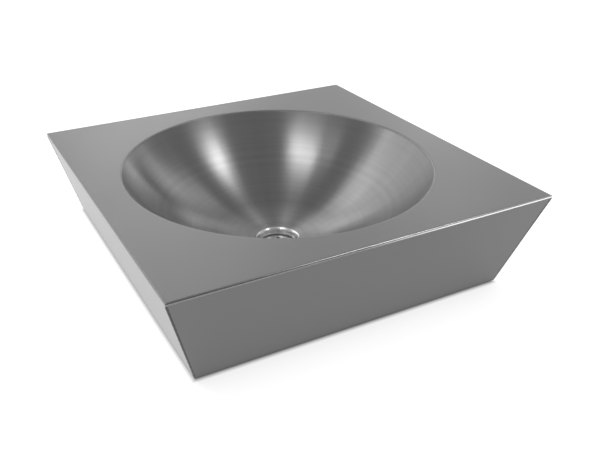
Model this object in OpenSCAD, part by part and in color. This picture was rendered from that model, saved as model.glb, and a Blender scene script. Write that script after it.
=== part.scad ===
// Square hand wash basin in stainless sheet: a folded casing with a round spun bowl and its waste.
// It hangs on a wall. The origin lies on the wall, midway between the two fixing holes;
// +Z is up, the front faces -Y and the bowl's axis is vertical.

/* [Casing] */
// Width of the deck, side to side
deck_w = 400; // [380:5:480]
// Depth of the deck, wall to front edge
deck_d = 400; // [380:5:480]
// Height of the casing, foot to deck top
casing_h = 106.5; // [105:0.5:130]
// How far the front and side panels lean in between deck and foot
lean_in = 30; // [15:1:40]
// Thickness of the casing's sheet
sheet_t = 1.2; // [0.8:0.1:1.5]
// Outside radius of the folds
fold_r = 1.8; // [1.6:0.1:4]
// Width of the return folded in along each panel's foot
return_w = 15; // [8:1:20]

/* [Bowl] */
// Flat deck left beside the bowl's mouth at the deck's narrower width
deck_margin = 33; // [32:1:50]
// How far the bowl's axis lies in front of the deck's middle
bowl_forward = 3; // [0:1:8]
// Depth of the waste's flange under the deck
bowl_depth = 90; // [80:1:95]
// Outside radius of the turned-down rim
rim_r = 3; // [2:0.5:6]
// Slope of the bowl's wall just under the rim, in degrees
wall_angle = 60; // [50:1:64]
// Thickness of the bowl's sheet
bowl_t = 1; // [0.8:0.1:1.5]

/* [Wall fixing] */
// Distance between the two fixing holes
fix_spacing = 280; // [200:10:300]
// Diameter of the fixing holes
fix_hole_d = 12; // [8:0.5:14]
// Depth of the fixing holes' centres under the deck
fix_drop = 40; // [30:1:60]
// Side of the doubler plate welded round each hole
plate_w = 50; // [36:2:60]
// Thickness of the doubler plates
plate_t = 3; // [2:0.5:5]

/* [Waste] */
// Diameter of the waste's flange
flange_d = 63; // [60:0.5:68]
// Thickness of the flange and of the cup
flange_t = 1.5; // [1:0.1:2]
// Thickness of the seal under the flange
flange_seal_t = 1; // [0.6:0.1:2]
// Gap between the flange's edge and the bowl, where the seat's slope ends
flange_gap = 1.05; // [0.9:0.05:1.5]
// Diameter of the hole in the bowl
hole_d = 48; // [47:0.5:50]
// Fall of the dished seat from its outer edge to the hole
seat_fall = 2; // [1:0.5:3]
// Inside diameter of the cup, just under its lip
cup_d = 43.4; // [42:0.2:44]
// Outside radius of the lip, from flange to cup
lip_r = 2.2; // [1.8:0.1:3]
// Taper of the cup's wall, in degrees
cup_taper = 7; // [3:1:9]
// Depth of the strainer's ledge under the flange
ledge_depth = 11.8; // [10:0.1:14]
// Outside diameter of the tail, over the thread
tail_d = 41.91; // [41:0.01:42]
// Bore of the tail
tail_bore_d = 37; // [34:0.5:38]
// Length of the waste, from flange to the tail's end
waste_len = 55; // [50:1:80]
// Width of the groove between the backnut's thread and the trap's thread
groove_w = 2; // [1:0.5:3]
// Depth of that groove
groove_t = 0.8; // [0.5:0.1:1.2]
// Chamfer at the tail's end
tail_chamfer = 1; // [0.5:0.1:1.5]

/* [Strainer] */
// Thickness of the strainer disc
strainer_t = 1.2; // [0.8:0.1:1.5]
// Gap between the strainer and the cup, at its edge and under it
strainer_gap = 0.3; // [0.2:0.05:0.6]
// Diameter of its holes
strainer_hole_d = 4.6; // [3:0.2:5]
// Radius of the inner ring of holes
inner_ring_r = 7.4; // [7:0.2:8]
// Radius of the outer ring of holes
outer_ring_r = 14.6; // [14:0.2:15]

/* [Clamping] */
// Outside diameter of the seal and the washer under the bowl
washer_d = 62; // [58:1:66]
// Thickness of the slip washer
slip_t = 1.5; // [1:0.5:3]
// Width of the backnut across its flats
nut_af = 55; // [50:1:60]
// Height of the backnut
nut_h = 9; // [7:0.5:12]
// Chamfer at the backnut's corners
nut_chamfer = 1.2; // [0.6:0.1:2]
// Play between the clamping rings and the tail or cup inside them
ring_play = 0.4; // [0.3:0.05:0.8]
// Play between a nut and its thread
thread_play = 0.05; // [0.02:0.01:0.1]

/* [Damping pads] */
// Thickness of the pads under the bowl
pad_t = 2.5; // [1.5:0.5:4]
// Film of glue between pad and bowl
glue_t = 0.1; // [0.05:0.05:0.3]
// Slope of the bowl at the pads' lower edge, in degrees
pad_low_angle = 24; // [18:1:30]
// Slope of the bowl at the pads' upper edge, in degrees
pad_high_angle = 46; // [40:1:50]
// Angle that each pad spans round the bowl
pad_span = 44; // [30:1:60]

/* [Earth tag] */
// Width of the tag
tag_w = 14; // [12:1:20]
// Thickness of the tag
tag_t = 1.5; // [1:0.5:2]
// Height of the leg welded to the back panel
tag_h = 18; // [14:1:24]
// Length of the leg that carries the screw, from the back panel
tag_reach = 22; // [20:1:30]
// Distance of the tag from the basin's middle
tag_x = 70; // [50:5:90]
// Height of the screw's leg over the foot
tag_rise = 24; // [20:1:34]
// Diameter of the screw's shank
screw_d = 5; // [4:0.5:6]
// Length of the screw under its head
screw_len = 14; // [12:1:16]
// Width of the screw's head across its flats
screw_af = 8; // [7:0.5:10]
// Height of the screw's head
screw_head_h = 3.5; // [3:0.5:4]
// Diameter of the earth washers
earth_washer_d = 10; // [9:0.5:12]
// Thickness of the earth washers
earth_washer_t = 1; // [0.8:0.1:1.5]
// Height of the earth nut
earth_nut_h = 4; // [3:0.5:5]
// Play round the screw's shank in the tag and the washers
screw_play = 0.2; // [0.1:0.05:0.4]

/* [Hidden] */

$fn = 120;

// Heights of the deck's top and of the foot
deck_z = fix_drop;
foot_z = deck_z - casing_h;
// How far cuts run past what they cut
overrun = sheet_t;
// Turns of the casing's sides about its middle
right_turn = 0;
back_turn = 90;
left_turn = 180;
front_turn = 270;

satin = [0.66, 0.66, 0.66];
brushed = [0.58, 0.58, 0.58];
polished = [0.85, 0.85, 0.86];
raw_steel = [0.5, 0.5, 0.51];
rubber_black = [0.07, 0.07, 0.07];
nylon_white = [0.85, 0.85, 0.82];

// Sections are drawn with x outwards from the deck's edge or from the bowl's axis,
// and y upwards from the deck's top.

// A flat ends in a point in the middle of the bend's sheet beside it, so that the two join.
// The point lies this many degrees round the bend.
tongue = 15;
function in_sheet(outer_r, wall, angle) = (outer_r - wall / 2) * [cos(angle), sin(angle)];

// Angle by which the panels lean in from the vertical
lean = atan(lean_in / (casing_h - fold_r));
top_fold = [-fold_r, -fold_r];
foot_fold = [-fold_r - (casing_h - 2 * fold_r) * tan(lean), fold_r - casing_h];
// The upright back panel's folds lie over each other
back_foot_fold = [-fold_r, fold_r - casing_h];
// Half the foot's width, and half the width left between the side panels' returns
foot_half = deck_w / 2 - lean_in;
notch_half = deck_w / 2 + foot_fold[0] + fold_r - return_w - sheet_t;

// The bowl's wall is one arc, from the rim's end to the edge of the waste's seat
mouth_r = min(deck_w, deck_d) / 2 - deck_margin;
bowl_back = deck_d / 2 + bowl_forward;
rim_end = [mouth_r - rim_r * sin(wall_angle), -rim_r * (1 - cos(wall_angle))];
hole_r = hole_d / 2;
flange_r = flange_d / 2;
seat_r = flange_r + flange_gap;
seat_edge = [seat_r + bowl_t / 2, -bowl_depth];
chord = rim_end - seat_edge;
bottom_angle = 2 * atan(chord[1] / chord[0]) - wall_angle;
wall_r = norm(chord) / (2 * sin((wall_angle - bottom_angle) / 2));
wall_centre = rim_end + wall_r * [-sin(wall_angle), cos(wall_angle)];

// The dished seat, and the flange and seal that lie in it
fall = atan(seat_fall / (seat_r - hole_r));
seat_top = -bowl_depth - (flange_t + flange_seal_t) / cos(fall);
function dished(r, level) = [r, level - (seat_r - r) * tan(fall)];
down_seat = [sin(fall), -cos(fall)];

// The lip rolls from the flange's slope into the cup's wall
cup_r = cup_d / 2;
lip_x = cup_r + lip_r;
lip_start = dished(lip_x - lip_r * sin(fall), -bowl_depth);
lip_centre = [lip_x, lip_start[1] - lip_r * cos(fall)];
cup_top = lip_centre + lip_r * [-cos(cup_taper), sin(cup_taper)];
ledge_y = -bowl_depth - ledge_depth;
cup_foot = [cup_top[0] - (cup_top[1] - ledge_y) * tan(cup_taper), ledge_y];
cup_wall = flange_t / cos(cup_taper);
cup_out_r = cup_top[0] + cup_wall;

// The tail: the backnut's thread, a groove, and the trap's thread down to the end
tail_r = tail_d / 2;
bore_r = tail_bore_d / 2;
cup_under_y = ledge_y - flange_t;
nut_top_y = cup_under_y - ring_play;
nut_low_y = nut_top_y - nut_h;
groove_top_y = nut_low_y - groove_w / 2;
groove_low_y = groove_top_y - groove_w;
tail_end_y = -bowl_depth - waste_len;

strainer_r = cup_foot[0] - strainer_gap;
strainer_low_y = ledge_y + strainer_gap;
inner_holes = 6;
outer_holes = 12;

washer_r = washer_d / 2;
slip_top_y = nut_top_y + slip_t;
ring_bore_r = cup_out_r + ring_play;

pads_out_r = wall_r + bowl_t + glue_t + pad_t;
pad_turns = [45, 135, 225, 315];

fix_x = fix_spacing / 2;
tag_z = foot_z + tag_rise;
screw_y = -(sheet_t + tag_reach + tag_t) / 2;

// Sheet bent round a point: a ring of the given wall, kept between two angles
module bend(outer_r, wall, from, to) {
  steps = 4;
  wedge_r = 2 * outer_r;
  intersection() {
    difference() {
      circle(r = outer_r);
      circle(r = outer_r - wall);
    }
    polygon([
      [0, 0],
      for (k = [0:steps]) wedge_r * [cos(from + (to - from) * k / steps),
                                     sin(from + (to - from) * k / steps)]
    ]);
  }
}

// Short flat that runs from a bend's end, at 90 degrees, over the sheet beside it
module flat_beside(outer_r, wall) {
  polygon([
    [0, outer_r],
    in_sheet(outer_r, wall, 90 - tongue),
    [0, outer_r - wall],
    [-wall, outer_r - wall],
    [-wall, outer_r]
  ]);
}

// Carries a section to one side of the casing and draws it along that side
module along(turn, reach, length) {
  translate([0, -deck_d / 2, deck_z])
    rotate([0, 0, turn])
      translate([reach, 0, 0])
        rotate([90, 0, 0])
          linear_extrude(height = length, center = true)
            children();
}

// Upright prism over a plan outline drawn outwards from the basin's middle
module over_plan(turn, outline) {
  translate([0, -deck_d / 2, foot_z - overrun])
    rotate([0, 0, turn])
      linear_extrude(height = casing_h + 2 * overrun)
        polygon(outline);
}

// A side's share of the plan, mitred at both of its corners
function mitred_plan(reach, half) = [
  [reach + overrun, -half - overrun],
  [reach + overrun, half + overrun],
  [reach - half, 0]
];

// A side panel's share: mitred at the front, square against the back panel
function side_plan(reach, half) = [
  [reach + overrun, half + overrun],
  [reach - half, 0],
  [reach - half, sheet_t - half],
  [reach + overrun, sheet_t - half]
];

// Section of a leaning panel, from the deck's fold down to its return
module leaning_section() {
  face = [cos(lean), -sin(lean)];
  inner_r = fold_r - sheet_t;
  return_x = foot_fold[0] + fold_r - return_w;
  polygon([
    top_fold + fold_r * face,
    top_fold + inner_r * face,
    foot_fold + inner_r * face,
    foot_fold + in_sheet(fold_r, sheet_t, -lean - tongue),
    foot_fold + fold_r * face
  ]);
  translate(foot_fold)
    bend(fold_r, sheet_t, -90, -lean);
  polygon([
    foot_fold - [0, fold_r],
    foot_fold + in_sheet(fold_r, sheet_t, tongue - 90),
    foot_fold - [0, inner_r],
    [return_x, sheet_t - casing_h],
    [return_x, -casing_h]
  ]);
}

module deck_fold(turn, reach, half, low_angle) {
  intersection() {
    along(turn, reach, 2 * (half + overrun))
      translate(top_fold) {
        bend(fold_r, sheet_t, low_angle, 90);
        flat_beside(fold_r, sheet_t);
      }
    over_plan(turn, mitred_plan(reach, half));
  }
}

module deck() {
  color(satin) {
    difference() {
      union() {
        translate([fold_r - deck_w / 2, fold_r - deck_d, deck_z - sheet_t])
          cube([deck_w - 2 * fold_r, deck_d - 2 * fold_r, sheet_t]);
        deck_fold(front_turn, deck_d / 2, deck_w / 2, -lean);
        deck_fold(left_turn, deck_w / 2, deck_d / 2, -lean);
        deck_fold(right_turn, deck_w / 2, deck_d / 2, -lean);
        deck_fold(back_turn, deck_d / 2, deck_w / 2, 0);
      }
      translate([0, -bowl_back, deck_z - sheet_t - overrun])
        cylinder(r = mouth_r, h = sheet_t + 2 * overrun);
      translate([-deck_w / 2, -sheet_t, deck_z - fold_r - overrun])
        cube([deck_w, sheet_t + overrun, overrun]);
    }
    translate([0, -bowl_back, deck_z])
      rotate_extrude()
        translate([mouth_r, -rim_r]) {
          bend(rim_r, sheet_t, 90, 90 + wall_angle);
          mirror([1, 0])
            flat_beside(rim_r, sheet_t);
        }
  }
}

module front_panel() {
  color(satin)
    intersection() {
      along(front_turn, deck_d / 2, deck_w)
        leaning_section();
      over_plan(front_turn, mitred_plan(deck_d / 2, deck_w / 2));
    }
}

module side_panel() {
  color(satin)
    intersection() {
      along(left_turn, deck_w / 2, deck_d)
        leaning_section();
      over_plan(left_turn, side_plan(deck_w / 2, deck_d / 2));
    }
}

module left_panel() {
  side_panel();
}

module right_panel() {
  mirror([1, 0, 0])
    side_panel();
}

// The upright sheet's outline follows the side panels' outer faces
module back_outline() {
  top_half = deck_w / 2 + top_fold[0] + fold_r * cos(lean) - fold_r * (1 - sin(lean)) * tan(lean);
  polygon([
    [-top_half, deck_z - fold_r],
    [top_half, deck_z - fold_r],
    [foot_half, foot_z],
    [-foot_half, foot_z]
  ]);
}

module back_panel() {
  color(satin)
    difference() {
      union() {
        difference() {
          rotate([90, 0, 0])
            linear_extrude(height = sheet_t)
              back_outline();
          translate([-notch_half, -sheet_t - overrun, foot_z - overrun])
            cube([2 * notch_half, sheet_t + 2 * overrun, fold_r + overrun]);
        }
        along(back_turn, deck_d / 2, 2 * notch_half) {
          translate(back_foot_fold) {
            bend(fold_r, sheet_t, -90, 0);
            rotate(-90)
              flat_beside(fold_r, sheet_t);
            rotate(180)
              mirror([1, 0])
                flat_beside(fold_r, sheet_t);
          }
          translate([-return_w, -casing_h])
            square([return_w - fold_r, sheet_t]);
        }
      }
      fixing_holes(sheet_t);
    }
}

module fixing_holes(depth) {
  for (side = [-1, 1])
    translate([side * fix_x, overrun, 0])
      rotate([90, 0, 0])
        cylinder(d = fix_hole_d, h = depth + 2 * overrun);
}

module fixing_plates() {
  color(raw_steel)
    difference() {
      for (side = [-1, 1])
        translate([side * fix_x - plate_w / 2, -sheet_t - plate_t, -plate_w / 2])
          cube([plate_w, plate_t, plate_w]);
      fixing_holes(sheet_t + plate_t);
    }
}

module bowl() {
  wall_low = wall_centre + (wall_r + bowl_t) * [sin(bottom_angle), -cos(bottom_angle)];
  step_up = asin(bowl_t / wall_r);
  seat_out = dished(seat_r, seat_top);
  seat_in = dished(hole_r, seat_top);
  color(brushed)
    translate([0, -bowl_back, deck_z])
      rotate_extrude() {
        translate(wall_centre)
          bend(wall_r + bowl_t, bowl_t, bottom_angle - 90, wall_angle - 90);
        polygon([
          seat_edge,
          seat_out,
          seat_in,
          seat_in - [0, bowl_t],
          seat_out - [0, bowl_t],
          [wall_low[0], seat_out[1] - bowl_t / 2],
          wall_low,
          wall_centre + in_sheet(wall_r + bowl_t, bowl_t, bottom_angle + step_up - 90)
        ]);
      }
}

module damping_pads() {
  color(rubber_black)
    translate([0, -bowl_back, deck_z])
      for (turn = pad_turns)
        rotate([0, 0, turn - pad_span / 2])
          rotate_extrude(angle = pad_span)
            translate(wall_centre)
              bend(pads_out_r, pad_t, pad_low_angle - 90, pad_high_angle - 90);
}

module earth_tag() {
  color(raw_steel)
    difference() {
      union() {
        translate([tag_x - tag_w / 2, -sheet_t - tag_t, tag_z])
          cube([tag_w, tag_t, tag_h]);
        translate([tag_x - tag_w / 2, -sheet_t - tag_reach, tag_z])
          cube([tag_w, tag_reach, tag_t]);
      }
      translate([tag_x, screw_y, tag_z - overrun])
        cylinder(d = screw_d + 2 * screw_play, h = tag_t + 2 * overrun);
    }
}

// The screw comes up through washer, tag and washer, and the nut holds it from above
module earth_screw() {
  color(polished)
    translate([tag_x, screw_y, tag_z - earth_washer_t]) {
      cylinder(d = screw_d, h = screw_len);
      translate([0, 0, -screw_head_h])
        cylinder(d = screw_af / cos(30), h = screw_head_h, $fn = 6);
    }
}

module earth_washers() {
  color(polished)
    for (z = [tag_z - earth_washer_t, tag_z + tag_t])
      translate([tag_x, screw_y, z])
        difference() {
          cylinder(d = earth_washer_d, h = earth_washer_t);
          translate([0, 0, -overrun])
            cylinder(d = screw_d + 2 * screw_play, h = earth_washer_t + 2 * overrun);
        }
}

module earth_nut() {
  color(polished)
    translate([tag_x, screw_y, tag_z + tag_t + earth_washer_t])
      difference() {
        cylinder(d = screw_af / cos(30), h = earth_nut_h, $fn = 6);
        translate([0, 0, -overrun])
          cylinder(d = screw_d + 2 * thread_play, h = earth_nut_h + 2 * overrun);
      }
}

module on_bowl_axis() {
  translate([0, -bowl_back, deck_z])
    rotate_extrude()
      children();
}

module flange_seal() {
  top = -bowl_depth - flange_t / cos(fall);
  color(rubber_black)
    on_bowl_axis()
      polygon([
        dished(hole_r, top),
        dished(flange_r, top),
        dished(flange_r, seat_top),
        dished(hole_r, seat_top)
      ]);
}

module waste_flange() {
  edge = dished(flange_r, -bowl_depth);
  edge_cut = flange_t / 4;
  color(polished)
    on_bowl_axis() {
      polygon([
        lip_start,
        lip_centre + in_sheet(lip_r, flange_t, 90 + fall + tongue),
        lip_start + flange_t * down_seat,
        dished(flange_r, -bowl_depth - flange_t / cos(fall)),
        edge - [0, edge_cut],
        dished(flange_r - edge_cut, -bowl_depth)
      ]);
      translate(lip_centre)
        bend(lip_r, flange_t, 90 + fall, 180 - cup_taper);
      polygon([
        cup_top,
        cup_foot,
        [bore_r, ledge_y],
        [bore_r, tail_end_y],
        [tail_r - tail_chamfer, tail_end_y],
        [tail_r, tail_end_y + tail_chamfer],
        [tail_r, groove_low_y],
        [tail_r - groove_t, groove_low_y],
        [tail_r - groove_t, groove_top_y],
        [tail_r, groove_top_y],
        [tail_r, cup_under_y],
        [cup_foot[0] + cup_wall, cup_under_y],
        [cup_foot[0] + cup_wall, ledge_y],
        cup_top + flange_t * [cos(cup_taper), -sin(cup_taper)],
        lip_centre + in_sheet(lip_r, flange_t, 180 - cup_taper - tongue)
      ]);
    }
}

module ring_of_holes(radius, count) {
  for (k = [1:count])
    rotate([0, 0, 360 * k / count])
      translate([radius, 0, strainer_low_y - overrun])
        cylinder(d = strainer_hole_d, h = strainer_t + 2 * overrun);
}

module strainer() {
  color(polished)
    translate([0, -bowl_back, deck_z])
      difference() {
        translate([0, 0, strainer_low_y])
          cylinder(r = strainer_r, h = strainer_t);
        ring_of_holes(0, 1);
        ring_of_holes(inner_ring_r, inner_holes);
        ring_of_holes(outer_ring_r, outer_holes);
      }
}

module under_seal() {
  under = seat_top - bowl_t;
  color(rubber_black)
    on_bowl_axis()
      polygon([
        dished(hole_r, under),
        dished(washer_r, under),
        [washer_r, slip_top_y],
        [hole_r, slip_top_y]
      ]);
}

module slip_washer() {
  color(nylon_white)
    on_bowl_axis()
      translate([ring_bore_r, nut_top_y])
        square([washer_r - ring_bore_r, slip_t]);
}

module backnut() {
  nut_r = nut_af / 2 / cos(30);
  color(raw_steel)
    translate([0, -bowl_back, deck_z])
      difference() {
        intersection() {
          translate([0, 0, nut_low_y])
            cylinder(r = nut_r, h = nut_h, $fn = 6);
          rotate_extrude()
            polygon([
              [0, nut_top_y],
              [nut_r, nut_top_y],
              [nut_r, nut_low_y + nut_chamfer / 2],
              [nut_r - nut_chamfer, nut_low_y],
              [0, nut_low_y]
            ]);
        }
        translate([0, 0, nut_low_y - overrun])
          cylinder(r = tail_r + thread_play, h = nut_h + 2 * overrun);
      }
}

deck();
front_panel();
left_panel();
right_panel();
back_panel();
bowl();
fixing_plates();
damping_pads();
earth_tag();
earth_screw();
earth_washers();
earth_nut();
flange_seal();
waste_flange();
strainer();
under_seal();
slip_washer();
backnut();
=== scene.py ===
import math

import bmesh
import bpy
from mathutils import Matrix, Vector


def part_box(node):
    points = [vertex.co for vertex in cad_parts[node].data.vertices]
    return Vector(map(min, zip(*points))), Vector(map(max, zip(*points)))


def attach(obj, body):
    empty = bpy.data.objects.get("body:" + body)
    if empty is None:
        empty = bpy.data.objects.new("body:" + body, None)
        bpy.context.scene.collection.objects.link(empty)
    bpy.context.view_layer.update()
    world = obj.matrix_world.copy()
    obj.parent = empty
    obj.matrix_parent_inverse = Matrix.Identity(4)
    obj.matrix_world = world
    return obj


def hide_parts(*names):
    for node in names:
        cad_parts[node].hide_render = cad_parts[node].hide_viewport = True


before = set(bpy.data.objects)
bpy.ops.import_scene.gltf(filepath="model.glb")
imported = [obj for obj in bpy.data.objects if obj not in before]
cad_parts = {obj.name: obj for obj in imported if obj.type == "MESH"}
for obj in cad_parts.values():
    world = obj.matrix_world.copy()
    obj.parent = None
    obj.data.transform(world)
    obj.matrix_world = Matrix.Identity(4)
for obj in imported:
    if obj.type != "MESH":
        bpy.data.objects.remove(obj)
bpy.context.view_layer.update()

# Deck. One square of 1.2 mm stainless sheet with its four edges folded down. The edge of its
# round mouth is turned down over a 3 mm radius to meet the bowl, and its satin grain runs
# from side to side.
sheet = 0.0012
deck_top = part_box("deck")[1].z
deck_half = 0.200
deck_middle = Vector((0, -deck_half, deck_top))
bowl_axis = Vector((0, -0.203, deck_top))
mouth_r = 0.167
mouth_sides = 256
rim_r = 0.003
rim_steps = 8
wall_slope = math.radians(60)
fold_r = 0.0018
fold_steps = 9
edge_cuts = 31
flat_half = deck_half - fold_r
flat_margin = 0.0008
inner_half = flat_half - flat_margin
casing_height = 0.1065
foot_inset = 0.030
panel_lean = math.atan(foot_inset / (casing_height - fold_r))
merge_gap = 0.000002
same_place = 0.00001
deck_grey = 0.28
satin_roughness = 0.42
satin_spread = 0.6
grain_along = 25
grain_across = 2600
# The deck's folds get a painted highlight towards the right and painted shade, a little darker,
# towards the left.
fold_light_from, fold_light_to = -0.02, 0.08
fold_shade_tone, fold_highlight_tone = 0.9, 3.4


def begin(name, add, **place):
    """Adds a primitive by itself and opens it for editing, with its origin at the frame's."""
    bpy.ops.object.select_all(action="DESELECT")
    add(**place)
    piece = bpy.context.object
    piece.name = piece.data.name = name
    bpy.ops.object.transform_apply(location=True, rotation=True, scale=True)
    bpy.ops.object.mode_set(mode="EDIT")
    bpy.ops.mesh.select_mode(type="VERT")
    return piece


def choose(piece, wanted):
    """Selects the vertices that a test accepts, and the edges and faces between them."""
    bpy.ops.mesh.select_all(action="DESELECT")
    mesh = bmesh.from_edit_mesh(piece.data)
    for v in mesh.verts:
        if wanted(v.co):
            v.select = True
    mesh.select_flush(True)
    bmesh.update_edit_mesh(piece.data)


def pull(reach, next_reach, drop, middle):
    """Extrudes an outline to a new distance from its middle, and lowers it."""
    bpy.ops.mesh.extrude_region_move(TRANSFORM_OT_translate={"value": (0, 0, -drop)})
    size = next_reach / reach
    bpy.ops.transform.resize(value=(size, size, 1), center_override=middle)


def roll_down(start, radius, bend, steps, middle):
    """Rolls an outline over and down: outwards, or inwards where the radius has a minus."""
    reach, level = start, 0
    for k in range(1, steps + 1):
        turn = bend * k / steps
        next_reach = start + radius * math.sin(turn)
        next_level = abs(radius) * (1 - math.cos(turn))
        pull(reach, next_reach, next_level - level, middle)
        reach, level = next_reach, next_level


def on_mouth(p, r):
    """Whether a point lies at this distance from the bowl's axis."""
    return abs((p - bowl_axis).xy.length - r) < same_place


def on_square(p, half):
    """Whether a point lies on the square of this half width about the deck's middle."""
    return abs(max(abs(p.x), abs(p.y - deck_middle.y)) - half) < same_place


def close(piece, angle=35):
    """Leaves edit mode with faces outwards, and shades the piece smooth between its edges."""
    bpy.ops.mesh.select_all(action="SELECT")
    bpy.ops.mesh.remove_doubles(threshold=merge_gap)
    bpy.ops.mesh.normals_make_consistent(inside=False)
    bpy.ops.object.mode_set(mode="OBJECT")
    bpy.ops.object.shade_smooth_by_angle(angle=math.radians(angle))


def finish_with(piece, kind, **settings):
    """Adds a modifier and applies it."""
    modifier = piece.modifiers.new(kind.lower(), kind)
    for key, value in settings.items():
        setattr(modifier, key, value)
    bpy.context.view_layer.objects.active = piece
    bpy.ops.object.modifier_apply(modifier=modifier.name)


deck = begin("deck_sheet", bpy.ops.mesh.primitive_circle_add, vertices=mouth_sides,
             radius=mouth_r, fill_type="NOTHING", location=bowl_axis)
roll_down(mouth_r, -rim_r, wall_slope, rim_steps, bowl_axis)
choose(deck, lambda p: on_mouth(p, mouth_r))
pull(mouth_r, mouth_r + flat_margin, 0, bowl_axis)
bpy.ops.mesh.select_all(action="DESELECT")
bpy.ops.mesh.primitive_plane_add(size=2 * inner_half, location=deck_middle)
bpy.ops.mesh.delete(type="ONLY_FACE")
choose(deck, lambda p: on_square(p, inner_half))
bpy.ops.mesh.subdivide(number_cuts=edge_cuts)
pull(inner_half, flat_half, 0, deck_middle)
roll_down(flat_half, fold_r, math.pi / 2 + panel_lean, fold_steps, deck_middle)
choose(deck, lambda p: abs(p.z - deck_top) < same_place
       and (on_mouth(p, mouth_r + flat_margin) or on_square(p, inner_half)))
bpy.ops.mesh.fill(use_beauty=True)
close(deck)
# The sheet gets its thickness downwards, so its top has to face up.
if max(deck.data.polygons, key=lambda f: f.area).normal.z < 0:
    bpy.ops.object.mode_set(mode="EDIT")
    bpy.ops.mesh.flip_normals()
    bpy.ops.object.mode_set(mode="OBJECT")
finish_with(deck, "SOLIDIFY", thickness=sheet, offset=-1, use_even_offset=True)


def adder(tree):
    """A way to add a node to a tree, with its inputs linked or set."""
    def add(kind, inputs=(), **settings):
        made = tree.nodes.new(kind)
        for key, value in settings.items():
            setattr(made, key, value)
        for socket, value in dict(inputs).items():
            if isinstance(value, bpy.types.NodeSocket):
                tree.links.new(value, made.inputs[socket])
            else:
                made.inputs[socket].default_value = value
        return made
    return add


def plain_material(name):
    """A material with only its shader and output, and the ways to add nodes and feed it."""
    material = bpy.data.materials.new(name)
    material.use_nodes = True
    tree = material.node_tree
    shader = tree.nodes["Principled BSDF"]

    def feed(output, socket):
        tree.links.new(output, shader.inputs[socket])

    return material, shader, adder(tree), feed


def even(grey):
    """A grey as a colour."""
    return (grey, grey, grey, 1)


def grain_group():
    """Fine drawn scratches and broad smudges, as satin steel has them."""
    group = bpy.data.node_groups.new("drawn_grain", "ShaderNodeTree")
    for name, kind, side in (("Along the grain", "NodeSocketVector", "INPUT"),
                             ("Place", "NodeSocketVector", "INPUT"),
                             ("Contrast", "NodeSocketFloat", "INPUT"),
                             ("Scratches", "NodeSocketFloat", "OUTPUT"),
                             ("Tone", "NodeSocketFloat", "OUTPUT"),
                             ("Smudges", "NodeSocketFloat", "OUTPUT")):
        group.interface.new_socket(name, in_out=side, socket_type=kind)
    add = adder(group)
    given = add("NodeGroupInput").outputs
    fine = add("ShaderNodeTexNoise", {"Vector": given["Along the grain"], "Scale": 1,
                                      "Detail": 3, "Roughness": 0.7})
    smudge = add("ShaderNodeTexNoise", {"Vector": given["Place"], "Scale": 9, "Detail": 4,
                                        "Roughness": 0.55})
    centred = add("ShaderNodeMath", {0: fine.outputs["Fac"], 1: 0.5}, operation="SUBTRACT")
    tone = add("ShaderNodeMath", {0: centred.outputs[0], 1: given["Contrast"], 2: 1},
               operation="MULTIPLY_ADD")
    add("NodeGroupOutput", {"Scratches": fine.outputs["Fac"], "Tone": tone.outputs[0],
                            "Smudges": smudge.outputs["Fac"]})
    return group


steel_grain = grain_group()
grain_contrast = 0.05
smudge_contrast = 0.05
scratch_depth = 0.00005


def drawn_steel(tools, place, pattern, over, grey, roughness, spread, wander=0.05, bump=0.05,
                marks=None, bare=None, tone_there=None, bare_roughness=0.2):
    """Finishes steel. The pattern vector runs along the grain, over points across it, and marks
    scale the colour. Bare masks where the steel has a roughness of its own, and tone_there
    scales it there."""
    material, shader, add, feed = tools
    shader.inputs["Metallic"].default_value = 1
    shader.inputs["Anisotropic"].default_value = spread
    grain = add("ShaderNodeGroup", {"Along the grain": pattern, "Place": place,
                                    "Contrast": grain_contrast}, node_tree=steel_grain).outputs
    colour = add("ShaderNodeMix", {"Factor": grain["Smudges"],
                                   "A": even(grey * (1 - smudge_contrast)),
                                   "B": even(grey * (1 + smudge_contrast))}, data_type="RGBA")
    tone = grain["Tone"]
    rough = add("ShaderNodeMapRange", {"Value": grain["Smudges"],
                                       "To Min": roughness - wander,
                                       "To Max": roughness + wander}).outputs["Result"]
    if marks is not None:
        tone = add("ShaderNodeMath", {0: tone, 1: marks}, operation="MULTIPLY").outputs[0]
    if bare is not None:
        own = add("ShaderNodeMix", {"Factor": bare, "A": 1.0, "B": tone_there},
                  data_type="FLOAT")
        tone = add("ShaderNodeMath", {0: tone, 1: own.outputs["Result"]},
                   operation="MULTIPLY").outputs[0]
        rough = add("ShaderNodeMix", {"Factor": bare, "A": rough, "B": bare_roughness},
                    data_type="FLOAT").outputs["Result"]
    toned = add("ShaderNodeVectorMath", {0: colour.outputs["Result"], "Scale": tone},
                operation="SCALE")
    fine = add("ShaderNodeBump", {"Height": grain["Scratches"], "Strength": bump,
                                  "Distance": scratch_depth})
    feed(toned.outputs["Vector"], "Base Color")
    feed(rough, "Roughness")
    feed(fine.outputs["Normal"], "Normal")
    feed(over, "Tangent")
    return material


def straight_grain(name, stretch, across, grey, edges=None):
    """Satin steel with straight grain: stretch scales its pattern, across is level over it."""
    tools = plain_material(name)
    add = tools[2]
    place = add("ShaderNodeTexCoord").outputs["Object"]
    drawn = add("ShaderNodeMapping", {"Vector": place, "Scale": stretch}).outputs[0]
    over = add("ShaderNodeCombineXYZ", {"X": across[0], "Y": across[1], "Z": across[2]})
    bare, tone_there = edges(add, place) if edges else (None, None)
    return drawn_steel(tools, place, drawn, over.outputs[0], grey, satin_roughness,
                       satin_spread, bare=bare, tone_there=tone_there)


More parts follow.
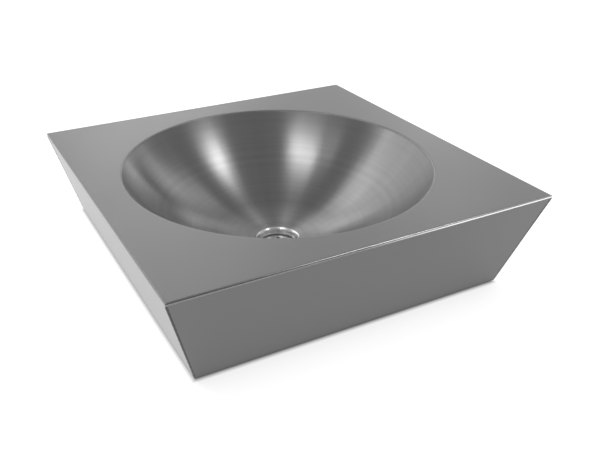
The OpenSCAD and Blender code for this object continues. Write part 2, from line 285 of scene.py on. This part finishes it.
def folded_edge(add, place):
    """A mask of the deck's folds, from halfway round them, and their tone by place along X: a
    painted highlight up to 3.4 times brighter to the right of the deck's middle, and painted
    shade a little darker to its left."""
    centred = add("ShaderNodeVectorMath", {0: place, 1: -deck_middle}, operation="ADD")
    away = add("ShaderNodeVectorMath", {0: centred.outputs[0]}, operation="ABSOLUTE")
    side = add("ShaderNodeSeparateXYZ", {0: away.outputs[0]})
    far = add("ShaderNodeMath", {0: side.outputs["X"], 1: side.outputs["Y"]},
              operation="MAXIMUM")
    fold = add("ShaderNodeMapRange", {"Value": far.outputs[0],
                                      "From Min": flat_half + fold_r * 0.4,
                                      "From Max": flat_half + fold_r * 0.6})
    along = add("ShaderNodeSeparateXYZ", {0: place})
    painted_fold_tone = add("ShaderNodeMapRange", {"Value": along.outputs["X"],
                                        "From Min": fold_light_from, "From Max": fold_light_to,
                                        "To Min": fold_shade_tone, "To Max": fold_highlight_tone})
    return fold.outputs["Result"], painted_fold_tone.outputs["Result"]


deck_finish = straight_grain("satin_deck", (grain_along, grain_across, grain_across), (0, 1, 0),
                             deck_grey, folded_edge)
deck.data.materials.append(deck_finish)
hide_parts("deck")
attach(deck, "basin")

# Casing. The front and the two sides lean in towards the foot, where each has a narrow return.
# The back stands upright against the wall. All are the deck's sheet, with the grain level.
# The same sheet is painted darker on the front and back and lighter on the sides than on the
# deck: painted shade and painted light for how the lamps fall on each face.
shaded_panel_grey = 0.19
lit_side_grey = 0.45


def dress(node, finish):
    """Gives a CAD node its finish."""
    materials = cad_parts[node].data.materials
    materials.clear()
    materials.append(finish)


shaded_panel_finish = straight_grain("satin_panel_painted_shade", (grain_along, grain_across, grain_across),
                              (0, 0, 1), shaded_panel_grey)
lit_side_finish = straight_grain("satin_side_painted_light", (grain_across, grain_along, grain_across),
                             (0, 0, 1), lit_side_grey)
dress("front_panel", shaded_panel_finish)
dress("back_panel", shaded_panel_finish)
dress("left_panel", lit_side_finish)
dress("right_panel", lit_side_finish)

# Corner welds. The sheets of the casing meet in mitres, which are welded from top to foot and
# ground almost flush. The bead is duller and darker than the sheet, and wanders a little.
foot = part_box("front_panel")[0].z
lean_in = (deck_top - fold_r - foot) * math.tan(panel_lean)
bead_r = 0.0012
bead_in = 0.0007
bead_sides = 12
bead_steps = 40
bead_end = 0.5
bead_wander = 0.06
wander_turn = 2.4
mottle_dark = 0.85
mottle_light = 1.12
gloss_wander = 0.08
skin_depth = 0.0002


def cast_surface(name, colour, metallic, roughness, scale, bump):
    """A plain maker's surface with some mottle in its colour, gloss and skin."""
    material, shader, add, feed = plain_material(name)
    shader.inputs["Metallic"].default_value = metallic
    place = add("ShaderNodeTexCoord").outputs["Object"]
    mottle = add("ShaderNodeTexNoise", {"Vector": place, "Scale": scale,
                                        "Detail": 5}).outputs["Fac"]
    tint = add("ShaderNodeMix", {"Factor": mottle,
                                 "A": (*(c * mottle_dark for c in colour), 1),
                                 "B": (*(min(c * mottle_light, 1) for c in colour), 1)},
               data_type="RGBA")
    rough = add("ShaderNodeMapRange", {"Value": mottle, "To Min": roughness - gloss_wander,
                                       "To Max": roughness + gloss_wander})
    skin = add("ShaderNodeBump", {"Height": mottle, "Strength": bump, "Distance": skin_depth})
    feed(tint.outputs["Result"], "Base Color")
    feed(rough.outputs["Result"], "Roughness")
    feed(skin.outputs["Normal"], "Normal")
    return material


bead_finish = cast_surface("ground_weld", (0.1, 0.1, 0.1), metallic=1, roughness=0.5, scale=900,
                           bump=0.2)
for name, x, y, lean_y in (("front_left", -1, -1, 1), ("front_right", 1, -1, 1),
                           ("back_left", -1, 1, 0), ("back_right", 1, 1, 0)):
    # A bead at the back stays clear of the wall.
    in_y = bead_in if lean_y else bead_r * (1 + bead_wander)
    top = Vector((x * (deck_half - bead_in), y * (deck_half - in_y), 0)) + deck_middle
    top.z = deck_top - fold_r
    bottom = Vector((top.x - x * lean_in, top.y - y * lean_in * lean_y, foot + bead_r))
    bead = begin("corner_weld_" + name, bpy.ops.mesh.primitive_circle_add, vertices=bead_sides,
                 radius=bead_r * bead_end, fill_type="NGON", location=top)
    thick = bead_end
    for k in range(bead_steps):
        at = top.lerp(bottom, (k + 1) / bead_steps)
        bpy.ops.mesh.extrude_region_move(
            TRANSFORM_OT_translate={"value": (bottom - top) / bead_steps})
        next_thick = 1 + bead_wander * math.sin(k * wander_turn)
        if k == bead_steps - 1:
            next_thick = bead_end
        size = next_thick / thick
        bpy.ops.transform.resize(value=(size, size, 1), center_override=at)
        thick = next_thick
    close(bead)
    bead.data.materials.append(bead_finish)
    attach(bead, "basin")

# Bowl. Spun from 1 mm stainless sheet on a lathe, so its grain runs round the axis. The wall
# is one arc from the rim to the dished seat that takes the waste.
bowl_sheet = 0.001
bowl_depth = 0.090
seat_r = 0.0320
seat_gap = 0.0001
seat_step = 0.00257
hole_r = 0.024
seat_fall = math.atan(0.0020 / 0.00855)
wall_steps = 72
under_steps = 56
point = 0.0001
ring_grain = 2200
worked_from, worked_to = 0.070, 0.040
any_height = -1
streak_scale = 9
ring_scale = 120


def trace(name, points, axis):
    """Draws a profile as by hand, from point to point, at (distance from the axis, height)."""
    place = [axis + Vector((r, 0, z)) for r, z in points]
    piece = begin(name, bpy.ops.mesh.primitive_plane_add, size=point, location=place[0])
    bpy.ops.mesh.merge(type="CENTER")
    for here, there in zip(place, place[1:]):
        bpy.ops.mesh.extrude_region_move(TRANSFORM_OT_translate={"value": there - here})
    return piece


def join_profile():
    """Merges the profile's two ends, and leaves all of it selected."""
    bpy.ops.mesh.select_all(action="SELECT")
    bpy.ops.mesh.remove_doubles(threshold=merge_gap)
    bpy.ops.mesh.select_all(action="SELECT")


def spin(piece, axis, steps):
    """Turns the drawn profile once round the axis and closes it."""
    join_profile()
    bpy.ops.mesh.spin(steps=steps, angle=2 * math.pi, center=axis, axis=(0, 0, 1))
    close(piece)


def arc(middle, radius, start, end, steps):
    """Points round a middle, from one angle to another, in degrees."""
    turns = [math.radians(start + (end - start) * k / steps) for k in range(steps + 1)]
    return [(middle[0] + radius * math.cos(t), middle[1] + radius * math.sin(t)) for t in turns]


rim_end = Vector((mouth_r - rim_r * math.sin(wall_slope), -rim_r * (1 - math.cos(wall_slope))))
seat_edge = Vector((seat_r + seat_gap, -bowl_depth))
chord = rim_end - seat_edge
floor_slope = 2 * math.atan(chord.y / chord.x) - wall_slope
wall_r = chord.length / (2 * math.sin((wall_slope - floor_slope) / 2))
wall_middle = rim_end + wall_r * Vector((-math.sin(wall_slope), math.cos(wall_slope)))
wall_from, wall_to = math.degrees(wall_slope) - 90, math.degrees(floor_slope) - 90
seat_out = Vector((seat_r, -bowl_depth - seat_step))
seat_in = seat_out - Vector((seat_r - hole_r, (seat_r - hole_r) * math.tan(seat_fall)))
bowl = trace("spun_bowl", [
    *arc(wall_middle, wall_r, wall_from, wall_to, wall_steps),
    seat_out,
    seat_in,
    seat_in - Vector((0, bowl_sheet)),
    seat_out - Vector((0, bowl_sheet)),
    *arc(wall_middle, wall_r + bowl_sheet, wall_to, wall_from, under_steps),
    rim_end], bowl_axis)
spin(bowl, bowl_axis, mouth_sides)


def round_grain(name, run, across, grey, roughness, spread, middle=None, marked=0, **finish):
    """Steel turned or spun on the bowl's axis: grain in rings, gloss spread across them. Marked
    is how far streaks and rings scale the colour. The middle may have a tone and a roughness
    of its own, from one distance to another, above a level."""
    tools = plain_material(name)
    add = tools[2]
    place = add("ShaderNodeTexCoord").outputs["Object"]
    centred = add("ShaderNodeVectorMath", {0: place, 1: (-bowl_axis.x, -bowl_axis.y, 0)},
                  operation="ADD")
    level = add("ShaderNodeVectorMath", {0: centred.outputs[0], 1: (1, 1, 0)},
                operation="MULTIPLY")
    away = add("ShaderNodeVectorMath", {0: level.outputs[0]}, operation="NORMALIZE")
    distance = add("ShaderNodeVectorMath", {0: level.outputs[0]}, operation="LENGTH")
    height = add("ShaderNodeSeparateXYZ", {0: place})
    rise = add("ShaderNodeMath", {0: distance.outputs["Value"], 1: height.outputs["Z"]},
               operation="ADD")
    ring = add("ShaderNodeMath", {0: rise.outputs[0], 1: across}, operation="MULTIPLY")
    ring_up = add("ShaderNodeCombineXYZ", {"Z": ring.outputs[0]})
    drawn = add("ShaderNodeVectorMath", {0: away.outputs[0], 1: (run, run, 0),
                                         2: ring_up.outputs[0]}, operation="MULTIPLY_ADD")
    if middle:
        starts, ends, above = middle
        worked = add("ShaderNodeMapRange", {"Value": distance.outputs["Value"],
                                            "From Min": starts, "From Max": ends})
        over = add("ShaderNodeMath", {0: height.outputs["Z"], 1: above},
                   operation="GREATER_THAN")
        finish["bare"] = add("ShaderNodeMath", {0: worked.outputs["Result"], 1: over.outputs[0]},
                             operation="MULTIPLY").outputs[0]
    if marked:
        streaks = add("ShaderNodeTexNoise", {"Vector": away.outputs[0], "Scale": streak_scale,
                                             "Detail": 3})
        rings = add("ShaderNodeTexNoise", {"W": rise.outputs[0], "Scale": ring_scale,
                                           "Detail": 3}, noise_dimensions="1D")
        both = add("ShaderNodeMath", {0: streaks.outputs["Fac"], 1: rings.outputs["Fac"]},
                   operation="ADD")
        scaled = add("ShaderNodeMapRange", {"Value": both.outputs[0], "From Min": 0.6,
                                            "From Max": 1.4, "To Min": 1 - marked,
                                            "To Max": 1 + marked})
        finish["marks"] = scaled.outputs["Result"]
    return drawn_steel(tools, place, drawn.outputs[0], away.outputs[0], grey, roughness, spread,
                       **finish)


bowl.data.materials.append(
    round_grain("spun_steel", run=6, across=ring_grain, grey=0.3, roughness=0.29, spread=0.85,
                middle=(worked_from, worked_to, any_height), marked=0.07,
                tone_there=1.4, bare_roughness=0.42))
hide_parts("bowl")
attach(bowl, "basin")

# Waste. Its flange, cup and threaded tail are one piece of polished stainless steel. The flange
# is dished to sit in the bowl's seat, a lip rolls from it into the cup, and the cup's wall has
# a turned relief just over the strainer.
flange_r = 0.03196
flange_sheet = 0.0015
cup_r = 0.0213
cup_taper = 7
lip_r = 0.0034
lip_steps = 14
under_lip_steps = 8
ledge = -bowl_depth - 0.0118
relief_top = ledge + 0.0027
relief_foot = ledge + 0.0013
relief_depth = 0.0009
tail_r = 0.020955
bore_r = 0.0185
tail_end = -bowl_depth - 0.055
tail_chamfer = 0.001
pitch = 0.002309
thread_depth = 0.0009
crest_end, root_start, root_end = 0.2, 0.5, 0.7
nut_play = 0.0004
nut_height = 0.009
groove_width = 0.002
flange_break = 0.0001
turned_break = 0.00045
waste_sides = 192
fine_ring_grain = 3000


def dished(r, level):
    """A point of the flange's slope: its height follows its distance from the axis."""
    return Vector((r, level - (seat_r - r) * math.tan(seat_fall)))


def thread(top, bottom):
    """Points of the grooves round the tail, a pitch apart, from the lowest up."""
    points = []
    for k in range(int((top - bottom) / pitch)):
        crest = top - k * pitch
        points += [(tail_r, crest), (tail_r, crest - pitch * crest_end),
                   (tail_r - thread_depth, crest - pitch * root_start),
                   (tail_r - thread_depth, crest - pitch * root_end)]
    return reversed(points)


fall = math.degrees(seat_fall)
taper = math.radians(cup_taper)
lip_start = dished(cup_r + lip_r - lip_r * math.sin(seat_fall), -bowl_depth)
lip_middle = lip_start - lip_r * Vector((-math.sin(seat_fall), math.cos(seat_fall)))
cup_top = lip_middle + lip_r * Vector((-math.cos(taper), math.sin(taper)))
cup_foot = Vector((cup_top.x - (cup_top.y - ledge) * math.tan(taper), ledge))
cup_out = cup_foot.x + flange_sheet / math.cos(taper)
under = ledge - flange_sheet
groove_top = under - nut_play - nut_height - groove_width / 2
groove_foot = groove_top - groove_width
waste = trace("waste_body", [
    dished(flange_r, -bowl_depth),
    *arc(lip_middle, lip_r, 90 + fall, 180 - cup_taper, lip_steps),
    *((cup_foot.x + (z - ledge) * math.tan(taper) + depth, z) for z, depth in (
        (relief_top, 0), (relief_top, relief_depth),
        (relief_foot, relief_depth), (relief_foot, 0))),
    cup_foot,
    (bore_r, ledge),
    (bore_r, tail_end),
    (tail_r - tail_chamfer, tail_end),
    *thread(groove_foot, tail_end + tail_chamfer),
    (tail_r - thread_depth, groove_foot),
    (tail_r - thread_depth, groove_top),
    *thread(under, groove_top),
    (cup_out, under),
    (cup_out, ledge),
    *arc(lip_middle, lip_r - flange_sheet, 180 - cup_taper, 90 + fall, under_lip_steps),
    dished(flange_r, -bowl_depth - flange_sheet / math.cos(seat_fall)),
    dished(flange_r, -bowl_depth)], bowl_axis)
join_profile()
for corners, width in (((dished(flange_r, -bowl_depth),), flange_break),
                       ((cup_foot, (bore_r, ledge), (bore_r, tail_end), (cup_out, under)),
                        turned_break)):
    broken = [bowl_axis + Vector((p[0], 0, p[1])) for p in corners]
    choose(waste, lambda p: any((p - q).length < same_place for q in broken))
    bpy.ops.mesh.bevel(offset=width, segments=4, affect="VERTICES")
spin(waste, bowl_axis, waste_sides)
# Inside the lip and above the relief the colour is painted 2.3 times the flange's: painted light
# on the lip and the cup wall, where the lower roughness is the real polish. The relief and the
# cup below it keep the flange's darker colour.
waste.data.materials.append(
    round_grain("polished_steel", run=4, across=fine_ring_grain, grey=0.4, roughness=0.42,
                spread=0.8,
                middle=(cup_r + lip_r, cup_r + lip_r * 0.8, deck_top + relief_top),
                wander=0.03, bump=0.02, tone_there=2.3, bare_roughness=0.28))
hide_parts("waste_flange")
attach(waste, "basin")

# Strainer. A loose disc of 1.2 mm polished steel lies on the cup's ledge. Its nineteen holes
# are drilled, and every edge is broken so that it can be lifted out by hand.
low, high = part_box("strainer")
strainer_middle = (low + high) / 2
strainer_r = (high.x - low.x) / 2
strainer_sides = 128
drill_sides = 32
drill_r = 0.0023
drill_length = 0.006
hole_rings = ((0.0064, 6), (0.0126, 12))
strainer_break = 0.0002
strainer = begin("strainer_disc", bpy.ops.mesh.primitive_cylinder_add,
                 vertices=strainer_sides, radius=strainer_r, depth=high.z - low.z,
                 location=strainer_middle)
bpy.ops.object.mode_set(mode="OBJECT")
drills = begin("drills", bpy.ops.mesh.primitive_cylinder_add, vertices=drill_sides,
               radius=drill_r, depth=drill_length, location=strainer_middle)
for ring, count in hole_rings:
    for k in range(count):
        turn = 2 * math.pi * k / count
        out = ring * Vector((math.cos(turn), math.sin(turn), 0))
        bpy.ops.mesh.select_all(action="DESELECT")
        bpy.ops.mesh.primitive_cylinder_add(vertices=drill_sides, radius=drill_r,
                                            depth=drill_length, location=strainer_middle + out)
bpy.ops.object.mode_set(mode="OBJECT")
finish_with(strainer, "BOOLEAN", operation="DIFFERENCE", object=drills, solver="EXACT")
bpy.data.objects.remove(drills)
finish_with(strainer, "BEVEL", width=strainer_break, segments=2, limit_method="ANGLE",
            angle_limit=math.radians(40))
bpy.ops.object.select_all(action="DESELECT")
strainer.select_set(True)
bpy.context.view_layer.objects.active = strainer
bpy.ops.object.mode_set(mode="EDIT")
close(strainer)
strainer.data.materials.append(
    round_grain("strainer_steel", run=4, across=fine_ring_grain, grey=0.75, roughness=0.34,
                spread=0.5, wander=0.03, bump=0.02))
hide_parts("strainer")
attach(strainer, "strainer")

# Fittings under the bowl and inside the casing. Doubler plates and earth tag are mill-finish
# steel, the earth screw set is zinc plated, the backnut is turned brass, the pads and seals
# are black rubber and the slip washer is moulded nylon.
for name, nodes, colour, metallic, roughness, scale, bump in (
        ("mill_steel", ("fixing_plates", "earth_tag"),
         (0.30, 0.30, 0.30), 1, 0.5, 260, 0.2),
        ("zinc_plate", ("earth_screw", "earth_washers", "earth_nut"),
         (0.42, 0.42, 0.41), 1, 0.38, 900, 0.1),
        ("turned_brass", ("backnut",),
         (0.50, 0.37, 0.17), 1, 0.36, 700, 0.1),
        ("black_rubber", ("damping_pads",),
         (0.03, 0.03, 0.03), 0, 0.75, 1500, 0.4),
        ("seal_rubber", ("flange_seal", "under_seal"),
         (0.022, 0.022, 0.022), 0, 0.6, 900, 0.2),
        ("white_nylon", ("slip_washer",),
         (0.62, 0.62, 0.58), 0, 0.45, 500, 0.1)):
    finish = cast_surface(name, colour, metallic, roughness, scale, bump)
    for node in nodes:
        dress(node, finish)

# Studio. A pale floor lies a hair under the casing's foot, with a hole beneath the basin for the
# tail that hangs below it, and a low round backdrop closes it off. White comes from what camera,
# gloss and glass see of them. Softboxes light the basin from both sides and from behind.
foot_half = Vector((deck_half - lean_in, deck_half - lean_in / 2))
floor_gap = 0.0012
tail_room = 0.06
backdrop_r = 4.3
floor_rings = (0.5, 1.5, backdrop_r)
backdrop_rises = ((1.02, 0.3), (1.06, 0.5))
studio_sides = 96
centre = Vector((0, bowl_axis.y, foot - floor_gap))
lift_from, lift_to = 0.8, 3
# Inside the basin's foot the floor's lift falls to this level: a painted shadow under the basin.
painted_shadow_from, painted_shadow_to = 0.99, 1.02
painted_shadow_lift = 0.1
world_light = 0.32
lamp_aim = Vector((0, -0.2, 0))
lamp_distance = 3
camera_place = Vector((-0.3395, -0.8469, 0.3564))
camera_direction = Vector((0.4118, 0.7777, -0.4750))
floor = begin("floor", bpy.ops.mesh.primitive_circle_add, vertices=studio_sides,
              radius=tail_room, fill_type="NOTHING", location=centre)
reach = tail_room
for next_reach in floor_rings:
    pull(reach, next_reach, 0, centre)
    reach = next_reach
close(floor)
backdrop = begin("backdrop", bpy.ops.mesh.primitive_circle_add, vertices=studio_sides,
                 radius=backdrop_r, fill_type="NOTHING", location=centre)
reach = backdrop_r
for wider, rise in backdrop_rises:
    pull(reach, backdrop_r * wider, -rise, centre)
    reach = backdrop_r * wider
close(backdrop)


def studio_white(name, grey, near, far):
    """A pale surface that camera, gloss and glass see lifted to white. The lift goes from near
    to far with the distance from the basin, and falls to a tenth inside the basin's foot: a
    painted shadow under the basin, over the real shadow the lamps cast on the floor."""
    material, shader, add, feed = plain_material(name)
    shader.inputs["Base Color"].default_value = even(grey)
    shader.inputs["Roughness"].default_value = 0.9
    shader.inputs["Specular IOR Level"].default_value = 0
    shader.inputs["Emission Color"].default_value = even(1)
    path = add("ShaderNodeLightPath")
    seen = path.outputs["Is Camera Ray"]
    for other in ("Is Glossy Ray", "Is Transmission Ray"):
        seen = add("ShaderNodeMath", {0: seen, 1: path.outputs[other]},
                   operation="MAXIMUM").outputs[0]
    place = add("ShaderNodeTexCoord").outputs["Object"]
    away = add("ShaderNodeVectorMath", {0: place}, operation="LENGTH")
    lift = add("ShaderNodeMapRange", {"Value": away.outputs["Value"],
                                      "From Min": lift_from, "From Max": lift_to,
                                      "To Min": near, "To Max": far})
    # The lift is cut down inside the basin's foot, which paints a shadow under it.
    spot = add("ShaderNodeVectorMath", {0: place, 1: (1 / foot_half.x, 1 / foot_half.y, 0),
                                        2: (0, 1, 0)}, operation="MULTIPLY_ADD")
    from_middle = add("ShaderNodeVectorMath", {0: spot.outputs[0]}, operation="ABSOLUTE")
    side = add("ShaderNodeSeparateXYZ", {0: from_middle.outputs[0]})
    outside = add("ShaderNodeMath", {0: side.outputs["X"], 1: side.outputs["Y"]},
                  operation="MAXIMUM")
    clear = add("ShaderNodeMapRange", {"Value": outside.outputs[0],
                                       "From Min": painted_shadow_from, "From Max": painted_shadow_to,
                                       "To Min": painted_shadow_lift})
    strength = lift.outputs["Result"]
    for part in (seen, clear.outputs["Result"]):
        strength = add("ShaderNodeMath", {0: strength, 1: part}, operation="MULTIPLY").outputs[0]
    feed(strength, "Emission Strength")
    return material


floor.data.materials.append(studio_white("floor_paper", grey=0.6, near=0.74, far=0.83))
backdrop.data.materials.append(studio_white("backdrop_paper", grey=0.7, near=0.85, far=0.85))

world = bpy.data.worlds.new("studio")
bpy.context.scene.world = world
world.use_nodes = True
world.node_tree.nodes["Background"].inputs["Color"].default_value = even(1)
world.node_tree.nodes["Background"].inputs["Strength"].default_value = world_light

# Each softbox has its angle round the basin from +X towards +Y, its angle up, size and power.
for name, side, height, size, power in (
        ("left_softbox", 198, 69, (1.05, 0.34), 12.6),
        ("left_small_softbox", 170, 57, (0.4, 0.4), 1.1),
        ("left_low_softbox", 150, 16, (1.2, 0.8), 3),
        ("right_softbox", 332, 57, (0.79, 0.49), 10.8),
        ("side_softbox", 20, 32, (0.84, 1.6), 3.6),
        ("side_low_softbox", 43, 11, (0.9, 0.55), 2.8),
        ("back_softbox", 105, 26, (4.36, 1.72), 19.3),
        ("back_right_softbox", 63, 22, (2.1, 1.28), 8.4),
        ("back_high_softbox", 112, 45, (2.0, 0.68), 5.1)):
    turn, rise = math.radians(side), math.radians(height)
    away = Vector((math.cos(turn) * math.cos(rise), math.sin(turn) * math.cos(rise),
                   math.sin(rise)))
    bpy.ops.object.select_all(action="DESELECT")
    bpy.ops.object.light_add(type="AREA", location=lamp_aim + lamp_distance * away)
    lamp = bpy.context.object
    lamp.name = name
    lamp.data.shape = "RECTANGLE"
    lamp.data.size, lamp.data.size_y = size
    lamp.data.energy = power
    lamp.rotation_euler = (-away).to_track_quat("-Z", "Y").to_euler()

bpy.ops.object.camera_add(location=camera_place)
camera = bpy.context.object
camera.rotation_euler = camera_direction.to_track_quat("-Z", "Y").to_euler()
camera.data.sensor_width = 36
camera.data.lens = 44.24
camera.data.shift_x = 0.0351
camera.data.clip_start = 0.05
bpy.context.scene.camera = camera
bpy.context.scene.view_settings.view_transform = "Standard"
